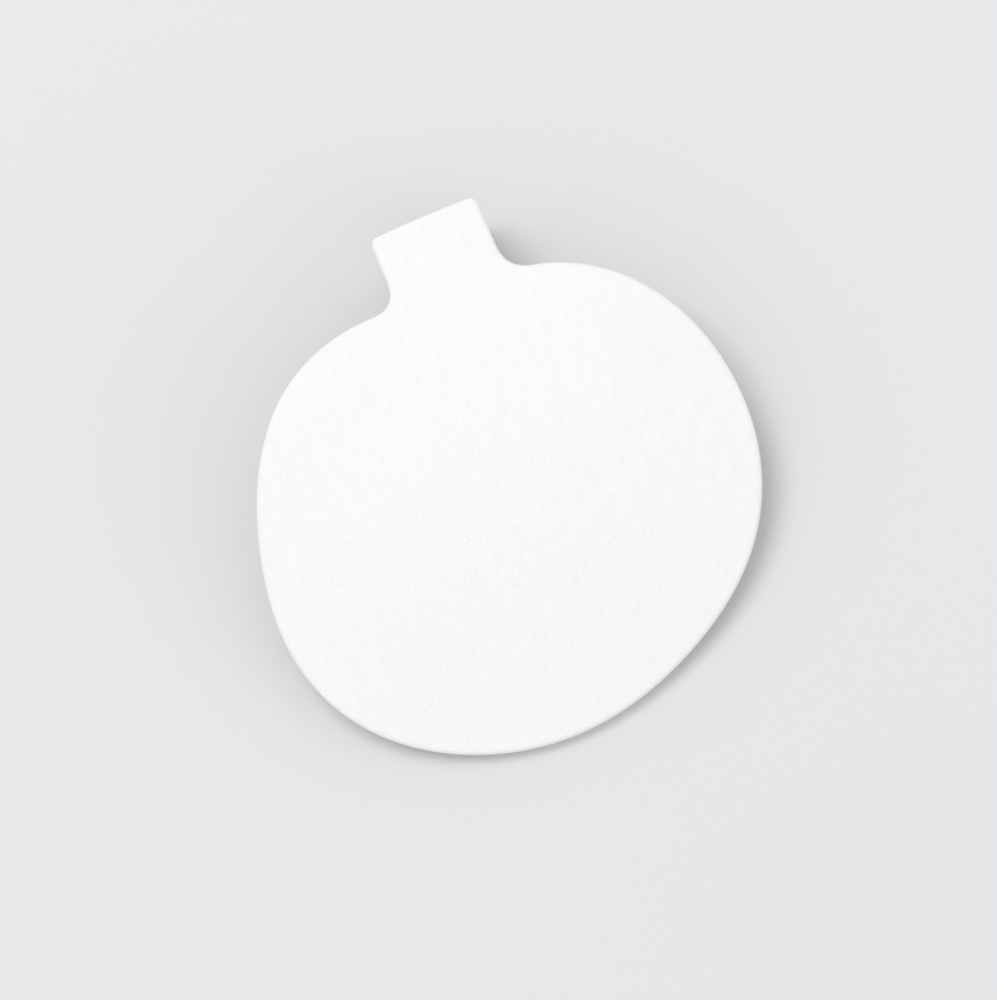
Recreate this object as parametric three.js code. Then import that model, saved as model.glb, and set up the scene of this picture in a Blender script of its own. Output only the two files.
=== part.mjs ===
// A ball of foot pad: an oval foam cushion whose short neck carries an elastic loop.
// It lies with its sole side up, as it rests by itself: on the loop at the front and on the rear edge.
// Millimetres, +Z up, +Y along the neck towards its front, origin on the floor below the middle of the pad.
import * as THREE from "three";

const { clamp, degToRad, smoothstep } = THREE.MathUtils;

// Cushion
const padDiameter = 83.2; // mean width of the oval
const middleThickness = 4.8;
const rimThickness = 3.2;
const cupDepth = 1.8; // hollow of the skin side
const edgeRadius = 0.9;

// Toe loop: a flat elastic band, closed to a ring
const toeWidth = 16.6; // clear width
const toeDepth = 13; // clear height
const bandWidth = 9;
const bandThickness = 1.4;
const bandEdgeRadius = 0.4;
const loopTopRadius = 4; // outside, where the band turns in under the neck
const loopFloorRadius = 6; // outside, where the band turns round below

// Neck
const neckOffset = 6; // the neck stands this far beside the middle of the oval
const neckReach = 50.8; // from the middle of the cushion to the neck's front edge, measured flat
const neckThickness = 2.5;
const neckLip = 0.4; // the neck runs this far past the front of the band
const neckArch = 1; // how far the neck's surface falls to its sides
const bendLength = 16; // length over which the pad bends from its slope to the level neck
const filletReach = 4.5; // length of the inner curve where the neck leaves the cushion
const cornerReach = 1.1; // length of the curve at each front corner
const bondGap = 0.3; // between the band and the skin side of the neck

// The oval: shares of its radius that swell it in 2 to 5 places, the first of them at a bearing from +X.
const ovalSwells = [
  { places: 2, share: 0.06, bearing: degToRad(11.5) },
  { places: 3, share: 0.016, bearing: degToRad(8.4) },
  { places: 4, share: 0.016, bearing: degToRad(38.8) },
  { places: 5, share: 0.011, bearing: degToRad(51.7) },
];

// Fineness of the surface
const ovalSteps = 68;
const edgeSteps = 3;
const faceRings = 8;
const ringCrowding = 1.5; // over 1 draws the rings of a face towards its edge
const domePower = 1.5; // how gently the cushion swells from its rim

// Sizes that follow from the ones above
const neckHalf = toeWidth / 2 + bandThickness; // the neck is as wide as the loop is outside
const loopHeight = toeDepth + 2 * bandThickness;
const neckHeight = loopHeight + bondGap; // of the neck's skin side over the floor
const loopMiddle = new THREE.Vector3(neckOffset, neckReach - neckLip - bandWidth / 2, 0);
const bendEnd = loopMiddle.y - bandWidth / 2;
const bendStart = bendEnd - bendLength;
const faceMiddle = new THREE.Vector2(neckOffset, 0);

const clothMaterial = new THREE.MeshStandardMaterial({ color: 0xf7f5f1, roughness: 0.85, metalness: 0 });
const elasticMaterial = new THREE.MeshStandardMaterial({ color: 0xf4f3f0, roughness: 0.75, metalness: 0 });

function ovalRadius(angle) {
  const swell = ({ places, share, bearing }) => share * Math.cos(places * (angle - bearing));
  return (padDiameter / 2) * ovalSwells.reduce((sum, row) => sum + swell(row), 1);
}

function ovalPoint(angle) {
  const radius = ovalRadius(angle);
  return new THREE.Vector2(radius * Math.cos(angle), radius * Math.sin(angle));
}

// Halves the span between two values, the first of which passes a test, down to where the test turns.
function lastPassing(test, from, to) {
  let [passing, failing] = [from, to];
  for (let i = 0; i < 40; i++) {
    const middle = (passing + failing) / 2;
    if (test(middle)) passing = middle;
    else failing = middle;
  }
  return passing;
}

// One side of the neck from the oval to the front edge: an inner curve, a straight and a corner curve.
// Side is 1 on the right and -1 on the left.
function neckSide(side) {
  const sideX = neckOffset + side * neckHalf;
  const ahead = Math.PI / 2;
  const angle = lastPassing((a) => side * (ovalPoint(a).x - sideX) < 0, ahead, ahead - side * 1.2);
  const root = ovalPoint(angle);
  const onOval = ovalPoint(angle - (side * filletReach) / root.length());
  const path = new THREE.Path();
  path.moveTo(onOval.x, onOval.y);
  path.quadraticCurveTo(root.x, root.y, sideX, root.y + filletReach);
  path.lineTo(sideX, neckReach - cornerReach);
  path.quadraticCurveTo(sideX, neckReach, sideX - side * cornerReach, neckReach);
  const [fillet, straight, corner] = path.curves;
  return [...fillet.getPoints(6), ...straight.getPoints(2).slice(1), ...corner.getPoints(4).slice(1)];
}

// The cushion's outline, anticlockwise as the sole side shows it.
function padOutline() {
  const right = neckSide(1);
  const left = neckSide(-1).reverse();
  const front = new THREE.LineCurve(right.at(-1), left[0]).getPoints(6).slice(1, -1);
  const start = left.at(-1).angle();
  const span = right[0].angle() + 2 * Math.PI - start;
  const oval = Array.from({ length: ovalSteps - 1 }, (_, i) => ovalPoint(start + (span * (i + 1)) / ovalSteps));
  return [...right, ...front, ...left, ...oval];
}

// The outline moved inwards by a distance, each point along its own normal.
function insetOutline(outline, distance) {
  return outline.map((point, i) => {
    const next = outline[(i + 1) % outline.length];
    const along = next.clone().sub(outline.at(i - 1)).normalize();
    return new THREE.Vector2(point.x - along.y * distance, point.y + along.x * distance);
  });
}

// 1 in the middle of the cushion, falling to 0 at the rim and staying 0 on the neck.
function domeShare(point) {
  const reach = point.length() / ovalRadius(point.angle());
  return Math.max(0, 1 - reach * reach) ** domePower;
}

// 1 on the neck, falling to 0 behind it and beside it.
function neckShare(point) {
  const beside = Math.abs(point.x - neckOffset) / neckHalf;
  return smoothstep(point.y, bendStart, bendEnd) * (1 - smoothstep(beside, 1, 2));
}

// How far the neck and the top of the loop lie lower at a distance from their middle line.
function archDrop(across) {
  const beside = across / neckHalf;
  return neckArch * (1 - Math.exp(-beside * beside));
}

function skinRise(point) {
  return cupDepth * domeShare(point) - archDrop(point.x - neckOffset) * neckShare(point);
}

function soleRise(point) {
  const dome = (middleThickness - rimThickness) * domeShare(point);
  const thinning = (rimThickness - neckThickness) * neckShare(point);
  return skinRise(point) + rimThickness + dome - thinning;
}

// Where a point of the flat pad lies at rest: level on the loop, round the bend, then down the slope.
function restPoint(point, rise, slope) {
  const bendRadius = bendLength / slope;
  const turned = slope * clamp((bendEnd - point.y) / bendLength, 0, 1);
  const ahead = Math.max(0, point.y - bendEnd);
  const behind = Math.max(0, bendStart - point.y);
  const y = bendEnd + ahead - bendRadius * Math.sin(turned) - behind * Math.cos(slope);
  const z = neckHeight - bendRadius * (1 - Math.cos(turned)) - behind * Math.sin(slope);
  return new THREE.Vector3(point.x, y - rise * Math.sin(turned), z + rise * Math.cos(turned));
}

// One face as rings of points from its middle to its edge.
function faceRows(outline, rise) {
  const edge = insetOutline(outline, edgeRadius);
  return Array.from({ length: faceRings }, (_, i) => {
    const share = 1 - (1 - (i + 1) / (faceRings + 1)) ** ringCrowding;
    return edge.map((point) => rise(faceMiddle.clone().lerp(point, share)));
  });
}

// A quarter-round edge as rings of points, from the face to the outline.
function edgeRows(outline, rise) {
  return Array.from({ length: edgeSteps + 1 }, (_, i) => {
    const turn = (Math.PI / 2) * (i / edgeSteps);
    const ring = insetOutline(outline, edgeRadius * (1 - Math.sin(turn)));
    return ring.map((point) => rise(point, edgeRadius * (1 - Math.cos(turn))));
  });
}

// The cushion's surface as rings of points, from the skin side round the edge to the sole side.
function cushionSurface(slope) {
  const outline = padOutline();
  const skin = (point, sunk = 0) => restPoint(point, skinRise(point) + sunk, slope);
  const sole = (point, sunk = 0) => restPoint(point, soleRise(point) - sunk, slope);
  const half = (rise) => [...faceRows(outline, rise), ...edgeRows(outline, rise)];
  return { rows: [...half(skin), ...half(sole).reverse()], poles: [skin(faceMiddle), sole(faceMiddle)] };
}

// A closed surface through rings of points. With two poles it closes to a point at each end, and without
// them its last ring joins its first.
function closedSurface({ rows, poles = [] }) {
  const wide = rows[0].length;
  const bands = poles.length ? rows.length - 1 : rows.length;
  const faces = [];
  for (let i = 0; i < wide; i++) {
    const j = (i + 1) % wide;
    for (let band = 0; band < bands; band++) {
      const here = band * wide;
      const next = ((band + 1) % rows.length) * wide;
      faces.push(here + i, here + j, next + j, here + i, next + j, next + i);
    }
    if (poles.length) {
      const first = rows.length * wide;
      const last = bands * wide;
      faces.push(first, j, i, first + 1, last + i, last + j);
    }
  }
  const geometry = new THREE.BufferGeometry().setFromPoints([...rows.flat(), ...poles]);
  geometry.setIndex(faces);
  geometry.computeVertexNormals();
  return geometry;
}

// The slope at which the rear edge just meets the floor while the neck lies level on the loop.
function restSlope() {
  const clears = (slope) => cushionSurface(slope).rows.flat().every((point) => point.z > 0);
  return lastPassing(clears, degToRad(0.5), degToRad(60));
}

function makeCushion() {
  const mesh = new THREE.Mesh(closedSurface(cushionSurface(restSlope())), clothMaterial);
  mesh.name = "ball_cushion";
  return mesh;
}

// The outside of the loop, x across its hollow and y up, anticlockwise from the flat that it rests on.
function loopOutline() {
  const floorHalf = neckHalf - loopFloorRadius;
  const topHalf = neckHalf - loopTopRadius;
  const topBend = loopHeight - loopTopRadius;
  const path = new THREE.Path();
  path.moveTo(-floorHalf, 0);
  path.lineTo(floorHalf, 0);
  path.absarc(floorHalf, loopFloorRadius, loopFloorRadius, -Math.PI / 2, 0);
  path.lineTo(neckHalf, topBend);
  path.absarc(topHalf, topBend, loopTopRadius, 0, Math.PI / 2);
  path.lineTo(-topHalf, loopHeight);
  path.absarc(-topHalf, topBend, loopTopRadius, Math.PI / 2, Math.PI);
  path.lineTo(-neckHalf, loopFloorRadius);
  path.absarc(-floorHalf, loopFloorRadius, loopFloorRadius, Math.PI, 1.5 * Math.PI);
  const sides = path.curves.filter((curve) => curve.getLength() > 1e-6);
  return sides.flatMap((curve) => curve.getPoints(curve.isLineCurve ? 4 : 6).slice(1));
}

// The band's section: x outwards, 0 on the outside of the loop, and y along the loop's hollow.
function bandSection() {
  const round = bandEdgeRadius;
  const outer = -round;
  const inner = -bandThickness + round;
  const end = bandWidth / 2 - round;
  const corners = [
    { x: outer, y: end, from: 0 },
    { x: inner, y: end, from: Math.PI / 2 },
    { x: inner, y: -end, from: Math.PI },
    { x: outer, y: -end, from: 1.5 * Math.PI },
  ];
  return corners.flatMap(({ x, y, from }) => {
    return new THREE.EllipseCurve(x, y, round, round, from, from + Math.PI / 2).getPoints(2);
  });
}

function makeToeLoop() {
  const outline = loopOutline();
  const section = bandSection();
  const rows = outline.map((point, i) => {
    const next = outline[(i + 1) % outline.length];
    const along = next.clone().sub(outline.at(i - 1)).normalize();
    return section.map(({ x: outwards, y: alongHollow }) => {
      const across = point.x + along.y * outwards;
      const up = point.y - along.x * outwards;
      return new THREE.Vector3(across, alongHollow, up - archDrop(across) * (up / loopHeight));
    });
  });
  const mesh = new THREE.Mesh(closedSurface({ rows }), elasticMaterial);
  mesh.name = "toe_loop";
  mesh.position.copy(loopMiddle);
  return mesh;
}

const pad = new THREE.Group();
pad.add(makeCushion(), makeToeLoop());

const middle = new THREE.Box3().setFromObject(pad, true).getCenter(new THREE.Vector3());
pad.children.forEach((mesh) => mesh.position.sub(new THREE.Vector3(middle.x, middle.y, 0)));

export default pad;
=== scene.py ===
# %% [markdown]
# This lesson dresses a ball of foot pad: a white oval cushion with a short neck, and an elastic loop
# under the neck that holds it in place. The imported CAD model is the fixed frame. It gives the places and
# the sizes, and Blender gives the surfaces. The pad lies with its sole side up, on its loop and on its
# rear edge.

# %% Load the frame
import math

import bpy
import numpy as np
from mathutils import Matrix, Vector


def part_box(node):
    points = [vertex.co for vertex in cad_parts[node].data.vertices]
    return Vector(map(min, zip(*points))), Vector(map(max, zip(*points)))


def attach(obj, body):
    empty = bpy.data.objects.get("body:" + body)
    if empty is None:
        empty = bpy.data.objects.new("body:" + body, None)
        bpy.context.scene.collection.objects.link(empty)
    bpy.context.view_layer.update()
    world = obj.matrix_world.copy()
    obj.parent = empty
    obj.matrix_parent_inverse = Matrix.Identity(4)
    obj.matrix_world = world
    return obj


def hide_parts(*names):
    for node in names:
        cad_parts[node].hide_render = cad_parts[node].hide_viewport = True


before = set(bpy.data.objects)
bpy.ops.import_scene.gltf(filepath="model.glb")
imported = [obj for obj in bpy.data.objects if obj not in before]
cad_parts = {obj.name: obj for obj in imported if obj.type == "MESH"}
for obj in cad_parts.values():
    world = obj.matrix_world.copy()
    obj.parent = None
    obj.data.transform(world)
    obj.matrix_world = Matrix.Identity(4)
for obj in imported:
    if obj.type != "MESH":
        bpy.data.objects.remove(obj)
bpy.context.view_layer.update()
MM = 0.001

# %% [markdown]
# Most sizes below are ones that a maker of such pads would put on a drawing. The width of the oval and
# its four waves are different: a least-squares fit to the edge in the photo gave them, and they are
# rounded. All of them repeat the frame's own sizes, because the new surfaces take the place of its plain
# solids. What the frame can tell is read from it: the loop's box gives the width of the neck and the
# place of everything else.

# %% Sizes of the pad
pad_diameter = 83.2 * MM  # mean width of the oval
rim_thickness = 3.2 * MM
neck_thickness = 2.5 * MM
crown = 0.8 * MM  # how far each face swells in its middle
cup_depth = 1.8 * MM  # hollow of the under side
edge_radius = 0.9 * MM

neck_offset = 6 * MM
neck_reach = 50.8 * MM
neck_lip = 0.4 * MM
neck_arch = 1 * MM
bend_length = 16 * MM
fillet_reach = 4.5 * MM
corner_reach = 1.1 * MM
bond_gap = 0.3 * MM

# The oval swells in 2 to 5 places by a share of its radius, the first of them at a bearing from +X.
oval_swells = [
    {"places": 2, "share": 0.06, "bearing": math.radians(11.5)},
    {"places": 3, "share": 0.016, "bearing": math.radians(8.4)},
    {"places": 4, "share": 0.016, "bearing": math.radians(38.8)},
    {"places": 5, "share": 0.011, "bearing": math.radians(51.7)},
]

loop_low, loop_high = (np.array(corner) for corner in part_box("toe_loop"))
loop_middle = (loop_low + loop_high) / 2
band_width = loop_high[1] - loop_low[1]
neck_half = (loop_high[0] - loop_low[0]) / 2
loop_height = loop_high[2]
neck_height = loop_height + bond_gap
bend_end = neck_reach - neck_lip - band_width
bend_start = bend_end - bend_length
pad_middle = np.array([loop_middle[0] - neck_offset, loop_low[1] - bend_end])
print("loop in mm:", np.round((loop_high - loop_low) / MM, 2))

# %% [markdown]
# The outline is a slightly squared oval, written as a circle with four gentle waves on its radius, and a
# neck with parallel sides. It could be drawn as a Bezier curve, but a formula keeps its sizes honest.
# Corners and the inner curves beside the neck are quadratic curves. The whole is sampled densely, then
# read at equal steps along its length, so that later grids are even.


# %% The outline
def oval_radius(angle):
    """Mean radius times one plus the sum of the swells, each a cosine of a multiple of the angle."""
    swell = sum(row["share"] * np.cos(row["places"] * (angle - row["bearing"])) for row in oval_swells)
    return pad_diameter / 2 * (1 + swell)


def oval_point(angle):
    """Polar to plain coordinates, the angle counted from +X."""
    return np.asarray(oval_radius(angle))[..., None] * np.stack([np.cos(angle), np.sin(angle)], -1)


def quadratic(start, control, end, count=24):
    """Leaves start towards control and reaches end from it: the squares and the product of 1 - t and t."""
    t = np.linspace(0, 1, count)[:, None]
    start, control, end = map(np.asarray, (start, control, end))
    return (1 - t) ** 2 * start + 2 * t * (1 - t) * control + t**2 * end


def neck_side(side):
    """Inner curve, straight and corner of one side of the neck: 1 is the right side and -1 the left."""
    side_x = neck_offset + side * neck_half
    angles = np.linspace(math.pi / 2, math.pi / 2 - side * 1.2, 4000)
    crossed = side * (oval_point(angles)[:, 0] - side_x) > 0
    angle = angles[np.argmax(crossed)]
    root = oval_point(angle)
    on_oval = oval_point(angle - side * fillet_reach / np.hypot(*root))
    fillet = quadratic(on_oval, root, [side_x, root[1] + fillet_reach])
    corner_start = [side_x, neck_reach - corner_reach]
    corner = quadratic(corner_start, [side_x, neck_reach], [side_x - side * corner_reach, neck_reach])
    return np.concatenate([fillet, corner])


def evenly_spaced(points, count):
    """Reads a closed line at equal steps of its length, with straight lines between its points."""
    closed = np.vstack([points, points[:1]])
    length = np.concatenate([[0], np.cumsum(np.hypot(*np.diff(closed, axis=0).T))])
    steps = np.linspace(0, length[-1], count, endpoint=False)
    return np.stack([np.interp(steps, length, column) for column in closed.T], -1), length[-1]


def outward_normals(line):
    """Unit normals of a closed anticlockwise line, from the chord between each point's two neighbours."""
    along = np.roll(line, -1, axis=0) - np.roll(line, 1, axis=0)
    return np.stack([along[:, 1], -along[:, 0]], -1) / np.hypot(*along.T)[:, None]


outline_count = 4096
right, left = neck_side(1), neck_side(-1)[::-1]
oval_from = math.atan2(left[-1, 1], left[-1, 0])
oval_to = math.atan2(right[0, 1], right[0, 0]) + 2 * math.pi
oval_arc = oval_point(np.linspace(oval_from, oval_to, 2000)[1:-1])
outline, outline_length = evenly_spaced(np.concatenate([right, left, oval_arc]), outline_count)
front_middle = np.argmin(np.hypot(*(outline - [neck_offset, neck_reach]).T))
outline = np.roll(outline, outline_count // 4 - front_middle, axis=0)
outline_normals = outward_normals(outline)
print("outline length in mm:", round(outline_length / MM, 1))


def outline_at(turn, inset):
    """The point at a share of the way round, moved inwards by inset. At a quarter is the neck's front."""
    at = np.mod(turn, 1) * outline_count
    inner = outline - inset * outline_normals
    inner = np.vstack([inner, inner[:1]])
    return np.stack([np.interp(at, np.arange(outline_count + 1), column) for column in inner.T], -1)


# %% [markdown]
# The pad is bent, not flat. Its forms are worked out flat, as heights over the flat under side, and then
# every point is laid where it rests: level on the loop, round a gentle bend, and down a straight slope to
# the floor. Only the steepness of the slope is unknown. It is found by halving, until the rear edge meets
# the floor.


# %% Heights, and how the pad lies
def smooth(value, low, high):
    """0 below low, 1 above high, and t squared times 3 - 2 t between them."""
    t = np.clip((value - low) / (high - low), 0, 1)
    return t * t * (3 - 2 * t)


def dome_share(flat):
    """1 in the middle of the oval, 0 from its rim on: 1 less the squared share of the radius, to the 1.5."""
    reach = np.hypot(flat[..., 0], flat[..., 1]) / oval_radius(np.arctan2(flat[..., 1], flat[..., 0]))
    return np.clip(1 - reach**2, 0, None) ** 1.5


def neck_share(flat):
    """1 on the neck, falling smoothly to 0 behind it and beside it."""
    beside = np.abs(flat[..., 0] - neck_offset) / neck_half
    return smooth(flat[..., 1], bend_start, bend_end) * (1 - smooth(beside, 1, 2))


def arch_drop(across):
    """The neck and the top of the loop fall to their sides like a bell curve."""
    return neck_arch * (1 - np.exp(-((across / neck_half) ** 2)))


def under_rise(flat, cup=cup_depth):
    """Height of the under face: the cup times the dome's share, less the arch's drop on the neck."""
    return cup * dome_share(flat) - arch_drop(flat[..., 0] - neck_offset) * neck_share(flat)


def thickness(flat):
    """The rim's thickness, less the neck's share of what the neck is thinner by."""
    return rim_thickness - (rim_thickness - neck_thickness) * neck_share(flat)


def laid(flat, rise, slope):
    """The flat point where it rests: on an arc of radius bend_length / slope, or on a tangent of it."""
    radius = bend_length / slope
    turned = slope * np.clip((bend_end - flat[..., 1]) / bend_length, 0, 1)
    ahead = np.clip(flat[..., 1] - bend_end, 0, None)
    behind = np.clip(bend_start - flat[..., 1], 0, None)
    y = bend_end + ahead - radius * np.sin(turned) - behind * math.cos(slope) - rise * np.sin(turned)
    z = neck_height - radius * (1 - np.cos(turned)) - behind * math.sin(slope) + rise * np.cos(turned)
    return np.stack([flat[..., 0] + pad_middle[0], y + pad_middle[1], z], -1)


def lowest_edge(slope):
    """Height of the lowest point of the rounded lower edge."""
    roll = np.linspace(0, math.pi / 2, 7)
    flats = [outline_at(np.linspace(0, 1, 720), edge_radius * (1 - math.sin(t))) for t in roll]
    rises = [under_rise(flat) + edge_radius * (1 - math.cos(t)) for flat, t in zip(flats, roll)]
    return min(laid(flat, rise, slope)[:, 2].min() for flat, rise in zip(flats, rises))


flatter, steeper = math.radians(0.5), math.radians(60)
for _ in range(30):
    slope = (flatter + steeper) / 2
    flatter, steeper = (slope, steeper) if lowest_edge(slope) > 0 else (flatter, slope)
print("slope of the cushion in degrees:", round(math.degrees(slope), 2))

# %% [markdown]
# The cushion is foam between two cloth faces. Each face could be a fan of triangles round a middle point,
# but a fan pinches there, and cloth simulation behaves badly on it. So each face is a square grid pressed
# into the outline: its border runs round the outline at even steps, and all the rest is drawn in towards
# the middle.


# %% A square grid pressed into an outline
def pressed_grid(cells):
    """For each point, the share of the way out, the larger of |a| and |b|, and the turn by their ratio."""
    line = np.linspace(-1, 1, cells + 1)
    a, b = np.meshgrid(line, line, indexing="ij")
    wide = np.abs(a) >= np.abs(b)
    larger = np.where(wide, a, b)
    ratio = np.where(wide, b, -a) / np.where(larger == 0, 1, larger)
    quarter = np.where(wide, np.where(a >= 0, 0, 0.5), np.where(b >= 0, 0.25, 0.75))
    return np.abs(larger), quarter + ratio / 8


def grid_index(cells):
    """The number of each point of the grid, counted row by row."""
    return np.arange((cells + 1) ** 2).reshape(cells + 1, cells + 1)


def grid_border(cells):
    """The border points in order round the grid, anticlockwise from its lower right corner."""
    index = grid_index(cells)
    return np.concatenate([index[-1, :-1], index[:0:-1, -1], index[0, :0:-1], index[:-1, 0]])


def grid_quads(cells):
    """The grid's faces, each with its corners anticlockwise from above."""
    index = grid_index(cells)
    corners = [index[:-1, :-1], index[1:, :-1], index[1:, 1:], index[:-1, 1:]]
    return np.stack([corner.ravel() for corner in corners], -1)


def strip_quads(lower, upper):
    """The faces between closed rows of points and the rows above them, all of them anticlockwise."""
    ahead = np.roll(lower, -1, axis=-1), np.roll(upper, -1, axis=-1)
    return np.stack([lower, *ahead, upper], -1).reshape(-1, 4)


# %% [markdown]
# The rim is one profile carried round the outline as rows of points. Such pads are cut from a laminate
# with a blunt die, which presses the cloth over the edge: the cloth rolls down a quarter circle, ends in
# a thin lip, and the cut foam stands back a little behind it. The foam's band is a second material on the
# same closed mesh.

# %% The cushion, flat
grid_cells = 64
roll_steps = 6
foam_steps = 4
edge_crowding = 1.25  # over 1 draws the grid's lines towards the rim
foam_recess = 0.14 * MM
foam_bulge = 0.08 * MM
lip_depth = 0.08 * MM
lip_edge = 0.04 * MM

share, turn = pressed_grid(grid_cells)
border = grid_border(grid_cells)
border_turn = turn.ravel()[border]
face_middle = np.array([neck_offset, 0])
drawn_out = (1 - (1 - share) ** edge_crowding)[..., None]
face_flat = (face_middle + drawn_out * (outline_at(turn, edge_radius) - face_middle)).reshape(-1, 2)

# The profile from a face's edge to the foam: how far in from the outline, and how deep under the face.
roll = np.linspace(0, math.pi / 2, roll_steps + 1)[1:]
cloth_profile = [(edge_radius * (1 - math.sin(t)), edge_radius * (1 - math.cos(t))) for t in roll]
cloth_profile.append((0, edge_radius + lip_depth))
cloth_profile.append((foam_recess, edge_radius + lip_depth + lip_edge))
foam_depth = cloth_profile[-1][1]


def with_height(flat, height):
    """Flat points with their height as a third column."""
    return np.column_stack([flat, np.broadcast_to(height, len(flat))])


def cushion_rows():
    """The flat cushion: its under face, its sole face, and the rows of the rim, each as x, y and height."""
    yield with_height(face_flat, 0)
    yield with_height(face_flat, thickness(face_flat))
    for inset, depth in cloth_profile:
        yield with_height(outline_at(border_turn, inset), depth)
    for t in np.linspace(0, 1, foam_steps + 1)[1:-1]:
        flat = outline_at(border_turn, foam_recess - foam_bulge * 4 * t * (1 - t))
        yield with_height(flat, foam_depth + (thickness(flat) - 2 * foam_depth) * t)
    for inset, depth in reversed(cloth_profile):
        flat = outline_at(border_turn, inset)
        yield with_height(flat, thickness(flat) - depth)


face_count = len(face_flat)
row_count = 2 * len(cloth_profile) + foam_steps - 1
flat_cushion = np.concatenate(list(cushion_rows()))
rim_rows = 2 * face_count + np.arange(row_count * len(border)).reshape(row_count, -1)
ladder = np.vstack([border, rim_rows, border + face_count])
face_quads = grid_quads(grid_cells)
rim_quads = strip_quads(ladder[:-1], ladder[1:])
cushion_quads = np.concatenate([face_quads[:, ::-1], face_quads + face_count, rim_quads])

cloth_strips = len(cloth_profile)
strip_is_foam = np.repeat([False, True, False], [cloth_strips, foam_steps, cloth_strips])
quad_is_foam = np.concatenate([np.zeros(2 * len(face_quads), bool), np.repeat(strip_is_foam, len(border))])
print("cushion:", len(flat_cushion), "points,", len(cushion_quads), "faces")

# %% [markdown]
# A mesh is filled from whole arrays, which is far quicker than adding faces one by one. The cloth's
# pattern follows the cloth, so each point also gets its place on the flat cloth, in metres, as a UV map:
# over the rolled edge it goes on outwards by the length of the roll.


# %% From arrays to a mesh
def mesh_of(name, points, quads, corner_uv):
    """A smooth mesh of quads with one UV pair for each corner of each face."""
    mesh = bpy.data.meshes.new(name)
    mesh.vertices.add(len(points))
    mesh.vertices.foreach_set("co", points.astype(np.float32).ravel())
    mesh.loops.add(quads.size)
    mesh.loops.foreach_set("vertex_index", quads.astype(np.int32).ravel())
    mesh.polygons.add(len(quads))
    mesh.polygons.foreach_set("loop_start", np.arange(0, quads.size, 4, dtype=np.int32))
    mesh.polygons.foreach_set("use_smooth", np.ones(len(quads), dtype=bool))
    mesh.update(calc_edges=True)
    layer = mesh.uv_layers.new(name="cloth")
    layer.data.foreach_set("uv", corner_uv.astype(np.float32).ravel())
    return mesh


def piece_of(mesh):
    """An object that holds the mesh, at the origin and in the scene."""
    piece = bpy.data.objects.new(mesh.name, mesh)
    bpy.context.scene.collection.objects.link(piece)
    return piece


border_flat = outline_at(border_turn, 0)
border_outward = np.stack([np.interp(border_turn % 1, np.arange(outline_count) / outline_count, column)
                           for column in outline_normals.T], -1)
roll_reach = [edge_radius * (t - 1) for t in roll] + [edge_radius * (math.pi / 2 - 1) + lip_depth] * 2
row_reach = [*roll_reach, *roll_reach[-1:] * (foam_steps - 1), *roll_reach[::-1]]
rim_places = [border_flat + border_outward * reach for reach in row_reach]
cloth_place = np.concatenate([face_flat, face_flat, *rim_places])
cushion_uv = cloth_place[cushion_quads]

# %% [markdown]
# A padded face isn't a drawn curve: its cloth is held at the rim and swells in the middle. Blender's
# cloth solver finds that form. The solver is tuned for things the size of a garment, so it works on a
# copy that is larger, without gravity, blown up from inside, with the rim and the neck held. What it
# gives is the form of the swell. Its height is a size of the pad, so the movement is scaled until the
# middle stands at the crown.

# %% Let the faces swell
sim_scale = 20
sim_frames = 20
sim_pressure = 4.0
held_neck = 0.5

is_rim = np.concatenate([share.ravel(), share.ravel(), np.ones(rim_rows.size)]) > 0.999
held = is_rim | (neck_share(flat_cushion) > held_neck)


def swelling(points, quads, held_points):
    """How far each point moves when the closed mesh is blown up, as vectors at the mesh's own scale."""
    piece = piece_of(mesh_of("swelling", points * sim_scale, quads, np.zeros((quads.size, 2))))
    group = piece.vertex_groups.new(name="held")
    group.add(np.flatnonzero(held_points).tolist(), 1.0, "REPLACE")
    cloth = piece.modifiers.new("cloth", "CLOTH").settings
    cloth.vertex_group_mass = "held"
    cloth.quality = 5
    cloth.mass = 0.3
    cloth.tension_stiffness = 15
    cloth.compression_stiffness = 15
    cloth.bending_stiffness = 0.5
    cloth.use_pressure = True
    cloth.uniform_pressure_force = sim_pressure
    cloth.effector_weights.gravity = 0
    for number in range(1, sim_frames + 1):
        bpy.context.scene.frame_set(number)
    blown = piece.evaluated_get(bpy.context.evaluated_depsgraph_get()).to_mesh()
    moved = np.empty(points.size, np.float32)
    blown.vertices.foreach_get("co", moved)
    bpy.context.scene.frame_set(1)
    bpy.data.objects.remove(piece)
    return moved.reshape(-1, 3) / sim_scale - points


movement = swelling(flat_cushion, cushion_quads, held)
tallest = np.linalg.norm(movement, axis=1).max()
print("the solver's own swell in mm:", round(tallest / MM, 2))
swelled = flat_cushion + movement * (crown / tallest)
cushion_form = laid(swelled[:, :2], swelled[:, 2] + under_rise(swelled[:, :2], cup_depth + crown), slope)
print("cushion from", np.round(cushion_form.min(0) / MM, 2), "to", np.round(cushion_form.max(0) / MM, 2))

# %% [markdown]
# The closed form becomes one object with two materials, cloth and cut foam. One level of subdivision
# rounds it. More levels would only add faces, because the form itself is worked out finely enough.


# %% The padded cushion
cushion = piece_of(mesh_of("padded_cushion", cushion_form, cushion_quads, cushion_uv))
rounding = cushion.modifiers.new("rounding", "SUBSURF")
rounding.levels = rounding.render_levels = 1

# %% [markdown]
# The loop is a short woven elastic, closed to a ring under the neck. It could be a bent strip with
# Solidify, but an elastic has a section of its own: thin, with round edges, and ribbed along its length
# by the rubber threads in it. So its section is drawn once and carried round the ring, and the ribs are
# real.

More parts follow.
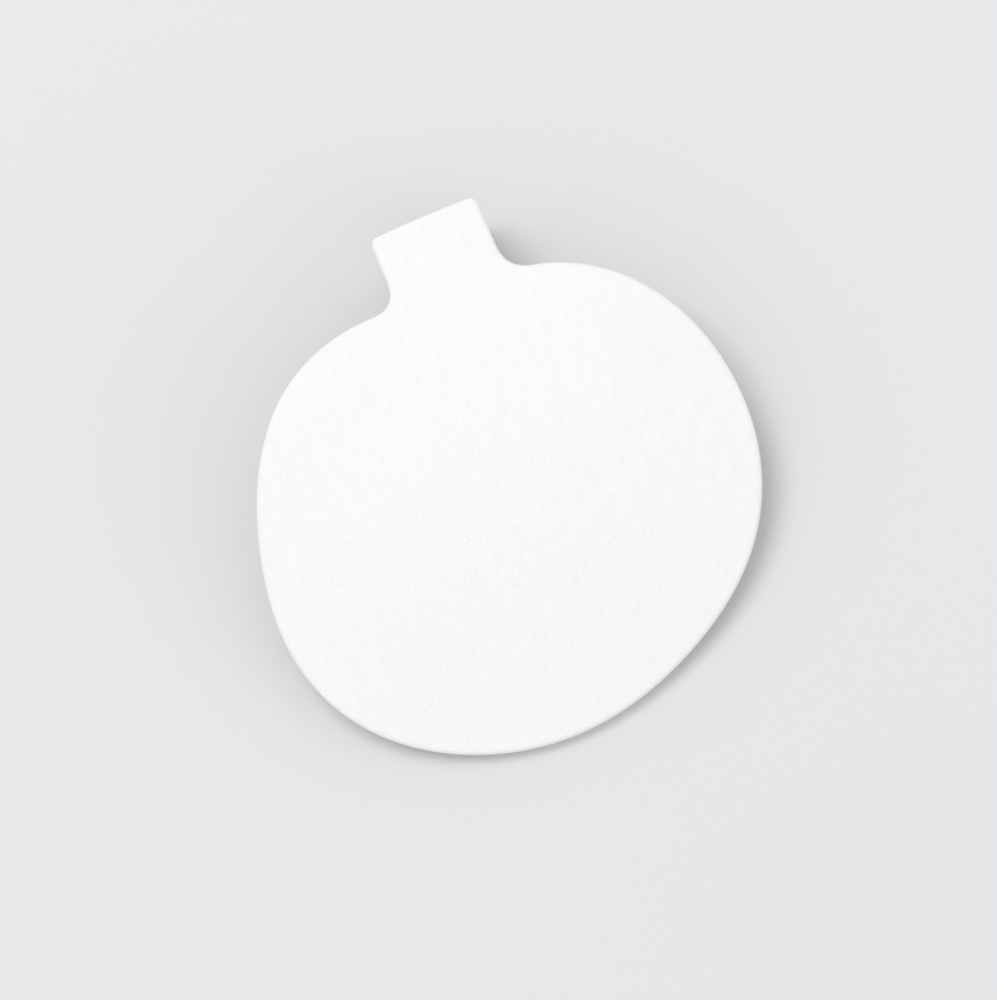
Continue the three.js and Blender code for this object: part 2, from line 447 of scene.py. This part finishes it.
# %% The elastic loop
band_thickness = 1.4 * MM
band_edge = 0.4 * MM  # radius of its edges
loop_top_radius = 4 * MM
loop_floor_radius = 6 * MM
cloth_gap = 0.04 * MM  # left between the elastic and the cloth that it is bonded to
rib_count = 11
rib_depth = 0.11 * MM
rib_steps = 8
edge_arc_steps = 4
ring_steps = 240


def arc(centre, radius, start, end, count=40):
    """Centre plus radius times cosine and sine, from one angle in degrees to another."""
    angle = np.radians(np.linspace(start, end, count))
    return np.asarray(centre) + radius * np.stack([np.cos(angle), np.sin(angle)], -1)


def ring_outline(height):
    """The outer side of the ring as seen along +Y, anticlockwise: a box with round corners."""
    floor_x = neck_half - loop_floor_radius
    top_x = neck_half - loop_top_radius
    top_z = height - loop_top_radius
    corners = [
        arc([floor_x, loop_floor_radius], loop_floor_radius, -90, 0),
        arc([top_x, top_z], loop_top_radius, 0, 90),
        arc([-top_x, top_z], loop_top_radius, 90, 180),
        arc([-floor_x, loop_floor_radius], loop_floor_radius, 180, 270),
    ]
    return evenly_spaced(np.concatenate(corners), ring_steps)


def band_section():
    """The section, across and inwards. A rib is 1 less the fourth power of the share of its half width."""
    flat_half = band_width / 2 - band_edge
    steps = np.linspace(0, rib_count, rib_count * rib_steps + 1)
    across = flat_half * (1 - 2 * steps / rib_count)
    inwards = rib_depth * (2 * (steps % 1) - 1) ** 4
    outer = np.column_stack([across, inwards])
    inner = np.column_stack([-across, band_thickness - inwards])
    front = arc([0, 0], band_edge, 90, 180, edge_arc_steps + 1)
    near, far = [-flat_half, band_edge], [-flat_half, band_thickness - band_edge]
    edge = np.concatenate([near + front * [1, -1], far + front[::-1]])
    return np.concatenate([outer[1:-1], edge, inner[1:-1], edge * [-1, -1] + [0, band_thickness]])


ring_height = neck_height - cloth_gap
ring, ring_length = ring_outline(ring_height)
ring_out = outward_normals(ring)
section = band_section()
across, inwards = section[:, :1], section[:, 1:]
ring_x = ring[:, 0] - inwards * ring_out[:, 0]
ring_z = ring[:, 1] - inwards * ring_out[:, 1]
ring_z = ring_z - arch_drop(ring_x) * ring_z / ring_height
ring_y = np.broadcast_to(across, ring_x.shape)
loop_form = np.stack([ring_x + loop_middle[0], ring_y + loop_middle[1], ring_z], -1).reshape(-1, 3)
loop_index = np.arange(ring_x.size).reshape(ring_x.shape)
loop_quads = strip_quads(loop_index, np.roll(loop_index, -1, axis=0))

# Its UV map holds the metres along the ring and across the width, which go on over the edges.
ring_step = ring_length / ring_steps
over_edge = np.sign(across) * (band_thickness / 2 - np.abs(inwards - band_thickness / 2))
place_across = np.broadcast_to(across + over_edge, ring_x.shape).ravel()
along_start = (loop_quads[:, :1] % ring_steps) * ring_step
loop_uv = np.stack([along_start + ring_step * np.array([0, 1, 1, 0]), place_across[loop_quads]], -1)
loop = piece_of(mesh_of("elastic_loop", loop_form, loop_quads, loop_uv))
print("loop:", len(loop_form), "points, ring length in mm", round(ring_length / MM, 1))
print("loop from", np.round(loop_form.min(0) / MM, 2), "to", np.round(loop_form.max(0) / MM, 2))

# %% [markdown]
# The finishes are worked out by nodes. A few helpers keep the recipes short: they add a node, a sum, a
# mix of two colours, an empty group or a placed one. Effects that several finishes share are groups with
# named sockets, which put out colours and heights only. The shader itself stays in each material.


# %% Helpers for nodes
def node(tree, kind, inputs=(), **settings):
    """Adds a node. An input is a value, or another node's output, which is then linked to it."""
    made = tree.nodes.new("ShaderNode" + kind)
    for name, value in settings.items():
        setattr(made, name, value)
    for name, value in dict(inputs).items():
        if isinstance(value, bpy.types.NodeSocket):
            tree.links.new(value, made.inputs[name])
        else:
            made.inputs[name].default_value = value
    return made


def calc(tree, operation, *values):
    """The output of a Math node."""
    return node(tree, "Math", enumerate(values), operation=operation).outputs[0]


def new_group(name, inputs, outputs):
    """An empty group with sockets given as name and kind, and the ends that its nodes connect to."""
    tree = bpy.data.node_groups.new(name, "ShaderNodeTree")
    for in_out, sockets in (("INPUT", inputs), ("OUTPUT", outputs)):
        for socket, kind in sockets.items():
            tree.interface.new_socket(socket, in_out=in_out, socket_type="NodeSocket" + kind)
    return tree, tree.nodes.new("NodeGroupInput").outputs, tree.nodes.new("NodeGroupOutput").inputs


def mix_colours(tree, mask, first, second):
    """The first colour times 1 less the mask, plus the second times the mask."""
    return node(tree, "Mix", {0: mask, 6: first, 7: second}, data_type="RGBA").outputs[2]


def use_group(tree, group, **inputs):
    """Places a group. Its inputs are named with small letters here, and its outputs come back."""
    made = tree.nodes.new("ShaderNodeGroup")
    made.node_tree = group
    for name, value in inputs.items():
        socket = made.inputs[name.capitalize()]
        if isinstance(value, bpy.types.NodeSocket):
            tree.links.new(value, socket)
        else:
            socket.default_value = value
    return made.outputs


# %% [markdown]
# White cloth is never one white. The tone drifts a little from place to place, and short fibres stand up
# from every thread. Both are noise, the first over centimetres and the second over tenths of a
# millimetre.

# %% Groups for tone and fuzz
tone, given, result = new_group(
    "soft_tone", {"Vector": "Vector", "Size": "Float", "Light": "Color", "Dark": "Color"}, {"Color": "Color"}
)
drift = node(tone, "TexNoise", {"Vector": given["Vector"], "Scale": calc(tone, "DIVIDE", 1, given["Size"]),
                                "Detail": 3, "Roughness": 0.6})
spread = node(tone, "MapRange", {"Value": drift.outputs[0], "From Min": 0.3, "From Max": 0.7})
mixed = mix_colours(tone, spread.outputs[0], given["Light"], given["Dark"])
tone.links.new(mixed, result["Color"])

fuzz, given, result = new_group("fuzz", {"Vector": "Vector", "Size": "Float"}, {"Height": "Float"})
fibres = node(fuzz, "TexNoise", {"Vector": given["Vector"], "Scale": calc(fuzz, "DIVIDE", 1, given["Size"]),
                                 "Detail": 2, "Roughness": 0.55, "Distortion": 0.8})
fuzz.links.new(fibres.outputs[0], result["Height"])

# %% [markdown]
# The cloth is a fine white knit, stuck to the foam. A knit is rows of loops: seen close, each column is a
# plait of leaning legs. The threads are about a third of a millimetre wide, so as geometry they would
# cost millions of faces. As a height for bump they cost none, and the UV map lets them follow the cloth
# over the rolled edge.


# %% Group for the knit
def wave(tree, turns):
    """Half plus half the cosine of full turns."""
    cosine = calc(tree, "COSINE", calc(tree, "MULTIPLY", turns, 2 * math.pi))
    return calc(tree, "MULTIPLY_ADD", cosine, 0.5, 0.5)


wander_wales = 5  # length of the columns' wander, in wales
leg_lean = 0.9  # courses that a leg leans by, for each wale that it crosses
leg_low = 0.55  # height of a leg between two loops, as a share of its height in the loop

knit, given, result = new_group(
    "fine_knit", {"Vector": "Vector", "Wale": "Float", "Course": "Float"}, {"Height": "Float"}
)
wander_scale = calc(knit, "DIVIDE", 1 / wander_wales, given["Wale"])
wander = node(knit, "TexNoise", {"Vector": given["Vector"], "Scale": wander_scale})
centred = node(knit, "VectorMath", {0: wander.outputs[1], 1: (0.5, 0.5, 0.5)}, operation="SUBTRACT")
sideways = node(knit, "VectorMath", {0: centred.outputs[0], "Scale": given["Wale"]}, operation="SCALE")
wandered = node(knit, "VectorMath", {0: given["Vector"], 1: sideways.outputs[0]}, operation="ADD")
knit_place = node(knit, "SeparateXYZ", {0: wandered.outputs[0]}).outputs
column = calc(knit, "FRACT", calc(knit, "DIVIDE", knit_place[0], given["Wale"]))
from_middle = calc(knit, "ABSOLUTE", calc(knit, "SUBTRACT", column, 0.5))
courses = calc(knit, "DIVIDE", knit_place[1], given["Course"])
leaning = calc(knit, "MULTIPLY_ADD", from_middle, leg_lean, courses)
legs = wave(knit, calc(knit, "MULTIPLY_ADD", from_middle, 2, -0.5))
loops = calc(knit, "MULTIPLY_ADD", wave(knit, leaning), 1 - leg_low, leg_low)
knit.links.new(calc(knit, "MULTIPLY", legs, loops), result["Height"])


# %% [markdown]
# The cloth's finish joins what has been made: the tone, a little painted shade in the gaps of the knit, and
# one bump from three heights, the knit, its fuzz and the soft unevenness of the foam below. Two helpers come
# first, because every finish here is a matt material of the same kind.


# %% The white cloth
def new_material(name, *, roughness, specular, sheen, sheen_roughness):
    """A Principled material. What is the same all over the surface is set on the shader's own sockets."""
    made = bpy.data.materials.new(name)
    made.use_nodes = True
    shader = made.node_tree.nodes["Principled BSDF"].inputs
    shader["Roughness"].default_value = roughness
    shader["Specular IOR Level"].default_value = specular
    shader["Sheen Weight"].default_value = sheen
    shader["Sheen Roughness"].default_value = sheen_roughness
    place = node(made.node_tree, "TexCoord").outputs["Object"]
    return made, made.node_tree, shader, place


def bump_in_mm(tree, shader, height):
    """Joins a height in millimetres to the shader's normal."""
    bump = node(tree, "Bump", {"Height": height, "Distance": MM})
    tree.links.new(bump.outputs[0], shader["Normal"])


wale = 0.62 * MM  # width of a column of loops
course = 0.5 * MM  # height of a row of loops
knit_height = 0.055  # mm
fuzz_height = 0.018  # mm
# Painted shade: the knit's gaps are darkened towards this colour.
knit_gap_painted_shade = (0.8, 0.795, 0.78, 1)
knit_gap_share = 0.4  # of the gap's shade, between two loops
foam_wave = 11 * MM  # length of the soft unevenness of the foam below
foam_wave_height = 0.14  # mm

white_cloth, tree, shader, place = new_material(
    "white_cloth", roughness=0.9, specular=0.2, sheen=0.1, sheen_roughness=0.5
)
on_cloth = node(tree, "UVMap", uv_map="cloth").outputs[0]
loops_up = use_group(tree, knit, vector=on_cloth, wale=wale, course=course)["Height"]
fibres_up = use_group(tree, fuzz, vector=place, size=0.14 * MM)["Height"]
cloth_tone = use_group(tree, tone, vector=place, size=16 * MM, light=(0.915, 0.911, 0.9, 1),
                       dark=(0.897, 0.895, 0.886, 1))["Color"]
# Painted shade: the base colour darkens in the knit's gaps, where the loops are low.
gap_painted_shade = calc(tree, "MULTIPLY", calc(tree, "SUBTRACT", 1, loops_up), knit_gap_share)
tree.links.new(mix_colours(tree, gap_painted_shade, cloth_tone, knit_gap_painted_shade), shader["Base Color"])
foam_up = use_group(tree, fuzz, vector=place, size=foam_wave)["Height"]
loops_mm = calc(tree, "MULTIPLY", loops_up, knit_height)
cloth_mm = calc(tree, "MULTIPLY_ADD", foam_up, foam_wave_height, loops_mm)
bump_in_mm(tree, shader, calc(tree, "MULTIPLY_ADD", fibres_up, fuzz_height, cloth_mm))

# %% [markdown]
# The cut foam is a shade creamier than the cloth and full of fine pores. Voronoi cells give the pores: the
# nearer to a cell's middle, the deeper, and the darker with painted shade.

# %% The cut foam
pore = 0.21 * MM
pore_depth = 0.05  # mm
# Painted shade: the pores are darkened towards this colour.
pore_painted_shade = (0.72, 0.705, 0.66, 1)

cut_foam, tree, shader, place = new_material(
    "cut_foam", roughness=0.95, specular=0.15, sheen=0.1, sheen_roughness=0.6
)
foam_tone = use_group(tree, tone, vector=place, size=5 * MM, light=(0.85, 0.838, 0.8, 1),
                      dark=(0.82, 0.805, 0.76, 1))["Color"]
cells = node(tree, "TexVoronoi", {"Vector": place, "Scale": 1 / pore, "Randomness": 0.9}).outputs["Distance"]
walls = node(tree, "MapRange", {0: cells, 1: 0.15, 2: 0.6}).outputs[0]
# Painted shade: the base colour darkens in the pores, where the cells are deep.
tree.links.new(mix_colours(tree, walls, pore_painted_shade, foam_tone), shader["Base Color"])
bump_in_mm(tree, shader, calc(tree, "MULTIPLY", walls, pore_depth))

# %% [markdown]
# In the elastic, white yarn wraps every rubber thread, and neighbouring ribs are wrapped half a step apart.
# The ribs are geometry, and the wraps are a wave along the ring, moved half a step on every second rib, with
# painted shade in the gaps between wraps.

# %% The white elastic
wrap_pitch = ring_length / round(ring_length / (0.55 * MM))
rib_pitch = (band_width - 2 * band_edge) / rib_count
wrap_height = 0.05  # mm
# Painted shade: the gaps between wraps are darkened towards this colour.
wrap_gap_painted_shade = (0.72, 0.715, 0.7, 1)
wrap_gap_share = 0.35  # of the gap's shade, between two wraps

white_elastic, tree, shader, place = new_material(
    "white_elastic", roughness=0.85, specular=0.3, sheen=0.25, sheen_roughness=0.4
)
on_band = node(tree, "SeparateXYZ", {0: node(tree, "UVMap", uv_map="cloth").outputs[0]}).outputs
from_edge = calc(tree, "ADD", on_band[1], band_width / 2 - band_edge)
rib_number = calc(tree, "FLOOR", calc(tree, "DIVIDE", from_edge, rib_pitch))
wraps = calc(tree, "MULTIPLY_ADD", rib_number, 0.5, calc(tree, "DIVIDE", on_band[0], wrap_pitch))
wraps_up = wave(tree, wraps)
fibres_up = use_group(tree, fuzz, vector=place, size=0.12 * MM)["Height"]
elastic_tone = use_group(tree, tone, vector=place, size=7 * MM, light=(0.87, 0.866, 0.855, 1),
                         dark=(0.84, 0.837, 0.825, 1))["Color"]
# Painted shade: the base colour darkens between the wraps.
gap_painted_shade = calc(tree, "MULTIPLY", calc(tree, "SUBTRACT", 1, wraps_up), wrap_gap_share)
tree.links.new(mix_colours(tree, gap_painted_shade, elastic_tone, wrap_gap_painted_shade), shader["Base Color"])
wraps_mm = calc(tree, "MULTIPLY", wraps_up, wrap_height)
bump_in_mm(tree, shader, calc(tree, "MULTIPLY_ADD", fibres_up, fuzz_height, wraps_mm))

# %% [markdown]
# Each piece gets its finishes, hangs from the root body, and hides the CAD part that it takes the place of.

# %% Finishes on their pieces
for finish in (white_cloth, cut_foam):
    cushion.data.materials.append(finish)
cushion.data.polygons.foreach_set("material_index", quad_is_foam.astype(np.int32))
loop.data.materials.append(white_elastic)

for piece, cad_node, slot in ((cushion, "ball_cushion", "pad_cloth"), (loop, "toe_loop", "loop_elastic")):
    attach(piece, "root")
    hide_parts(cad_node)

# %% [markdown]
# The stage is a pale floor under the pad. It lies a hair lower than the pad's own lowest points, so that
# the two surfaces never fight for the same place.

# %% The floor
floor_half = 4.0
floor_drop = 0.02 * MM
floor_corners = np.array([[-1, -1, 0], [1, -1, 0], [1, 1, 0], [-1, 1, 0]]) * floor_half
floor_corners[:, 2] = -floor_drop
floor_quads = np.arange(4).reshape(1, 4)
floor = piece_of(mesh_of("floor", floor_corners, floor_quads, floor_corners[floor_quads][..., :2]))

pale_floor, tree, shader, place = new_material(
    "pale_floor", roughness=0.9, specular=0.1, sheen=0, sheen_roughness=0.5
)
floor_tone = use_group(tree, tone, vector=place, size=0.3, light=(0.71, 0.71, 0.705, 1),
                       dark=(0.7, 0.7, 0.695, 1))["Color"]
tree.links.new(floor_tone, shader["Base Color"])
floor.data.materials.append(pale_floor)

# %% [markdown]
# The camera looks square onto the sole side and is rolled so that the neck leans to the left. It could
# look straight down, but then the slope would shorten the oval. A long lens keeps the outline true. Its
# aim comes from where the middle of the oval lies in the picture, which is from the same fit.

# %% The camera
picture_size = np.array([997, 1000])
oval_in_picture = np.array([506.5, 508.5])
picture_height = 167.6 * MM  # real height of what the picture takes in
neck_lean = math.radians(23)
camera_distance = 0.7
sensor = 36  # mm

across_flat = np.array([1, 0, 0])
along_flat = np.array([0, math.cos(slope), math.sin(slope)])
out_of_sole = np.cross(across_flat, along_flat)
picture_right = math.cos(neck_lean) * across_flat - math.sin(neck_lean) * along_flat
picture_up = math.sin(neck_lean) * across_flat + math.cos(neck_lean) * along_flat

metres_per_pixel = picture_height / picture_size[1]
right_of_middle, below_middle = (oval_in_picture - picture_size / 2) * metres_per_pixel
oval_middle = laid(np.zeros(2), rim_thickness / 2, slope)
aim = oval_middle - right_of_middle * picture_right + below_middle * picture_up

camera_data = bpy.data.cameras.new("camera")
camera_data.sensor_width = sensor
camera_data.lens = sensor * camera_distance / picture_height
camera = bpy.data.objects.new("camera", camera_data)
turned = Matrix(np.column_stack([picture_right, picture_up, out_of_sole]))
camera.matrix_world = Matrix.LocRotScale(Vector(aim + out_of_sole * camera_distance), turned, None)
bpy.context.scene.collection.objects.link(camera)
bpy.context.scene.camera = camera
print("lens in mm:", round(camera_data.lens, 1))

# %% [markdown]
# A white thing on a pale floor shows its form by soft shade alone. One large light stands at the upper
# left of the picture, a weaker one opposite keeps the shade open, and a bright sky fills the rest.


# %% The lights
def soft_light(name, *, right, up, out, size, distance, watts):
    """A square light that faces the pad. Its direction is a sum of the picture's three directions."""
    direction = Vector(right * picture_right + up * picture_up + out * out_of_sole).normalized()
    data = bpy.data.lights.new(name, "AREA")
    data.size = size
    data.energy = watts
    light = bpy.data.objects.new(name, data)
    facing = direction.to_track_quat("Z", "Y")
    light.matrix_world = Matrix.LocRotScale(Vector(oval_middle) + direction * distance, facing, None)
    light.visible_camera = False
    bpy.context.scene.collection.objects.link(light)


soft_light("key", right=-0.45, up=0.45, out=1, size=0.8, distance=1.6, watts=9.8)
soft_light("fill", right=0.9, up=-0.3, out=0.6, size=0.9, distance=1.3, watts=1.6)

world = bpy.data.worlds.new("sky")
world.use_nodes = True
sky = world.node_tree.nodes["Background"].inputs
sky["Color"].default_value = (0.98, 0.99, 1, 1)
sky["Strength"].default_value = 0.79
bpy.context.scene.world = world
bpy.context.scene.view_settings.view_transform = "Standard"
